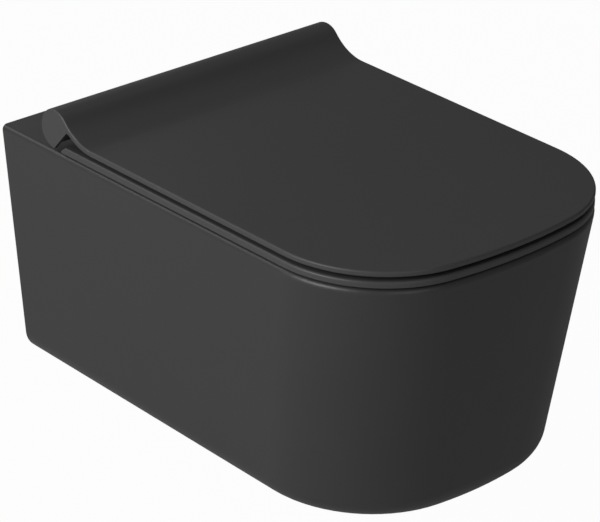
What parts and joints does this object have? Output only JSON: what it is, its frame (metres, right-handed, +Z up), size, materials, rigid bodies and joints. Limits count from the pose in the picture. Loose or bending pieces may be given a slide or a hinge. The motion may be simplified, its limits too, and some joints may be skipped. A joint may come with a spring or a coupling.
{
  "type": "wall hung toilet",
  "caption": "Wall-hung toilet pan with a rounded front, concealed fixings and a slim soft-close seat and lid whose rear edge wraps over a full-width barrel hinge.",
  "frame": {"origin": "midway between the two wall fixing holes, on the wall face", "axes": "+Z up, +Y into the wall, so the pan stands out along -Y; +X is the right of someone facing the wall"},
  "size_m": [0.359, 0.5294, 0.305],
  "materials": {
    "ceramic": "matte",
    "seat_plastic": "satin",
    "rubber": "matte",
    "hinge_metal": "satin",
    "button_plastic": "satin",
    "damper_plastic": "matte",
    "steel": "satin",
    "brass": "satin",
    "nylon": "matte"
  },
  "bodies": {
    "pan": {"bowl_skin": "ceramic", "bowl_rim": "ceramic", "bowl_basin": "ceramic", "bowl_trapway": "ceramic", "bowl_flush_way": "ceramic", "bowl_back": "ceramic", "wall_sleeve": "nylon", "rod_nut": "steel", "screw_insert": "brass", "locking_screw": "steel", "seat_stud_left": "steel", "seat_stud_right": "steel", "deck_gasket": "rubber", "seat_bolt": "steel", "rubber_expander": "rubber", "expander_nut": "brass"},
    "hinge_base": {"hinge_post_left": "hinge_metal", "hinge_post_right": "hinge_metal", "release_clip_left": "steel", "release_clip_right": "steel", "button_spring_left": "steel", "button_spring_right": "steel", "seat_damper_shaft": "nylon", "lid_damper_shaft": "nylon", "seat_hinge_pin": "steel", "lid_hinge_pin": "steel"},
    "seat": {"seat_ring": "seat_plastic", "seat_buffers": "rubber", "seat_damper": "damper_plastic", "seat_hinge_bush": "nylon"},
    "lid": {"lid": "seat_plastic", "lid_buffers": "rubber", "lid_damper": "damper_plastic", "lid_hinge_bush": "nylon"},
    "button_left": {"release_button_left": "button_plastic"},
    "button_right": {"release_button_right": "button_plastic"}
  },
  "joints": [
    {"name": "seat_lift_off", "type": "slide", "parent": "pan", "child": "hinge_base", "axis": [0, 0, 1], "range_m": [0, 0.03], "deforming": ["release_clip_left", "release_clip_right"]},
    {"name": "seat_hinge", "type": "hinge", "parent": "hinge_base", "child": "seat", "pos_m": [0, -0.08, 0.1225], "axis": [-1, 0, 0], "range_deg": [0, 96]},
    {"name": "lid_hinge", "type": "hinge", "parent": "seat", "child": "lid", "pos_m": [0, -0.08, 0.1225], "axis": [1, 0, 0], "range_deg": [-98, 0]},
    {"name": "button_left_press", "type": "slide", "parent": "hinge_base", "child": "button_left", "axis": [0, 1, 0], "range_m": [0, 0.0024], "stiffness_N_per_m": 300, "deforming": ["button_spring_left", "release_clip_left"]},
    {"name": "button_right_press", "type": "slide", "parent": "hinge_base", "child": "button_right", "axis": [0, 1, 0], "range_m": [0, 0.0024], "stiffness_N_per_m": 300, "deforming": ["button_spring_right", "release_clip_right"]}
  ]
}
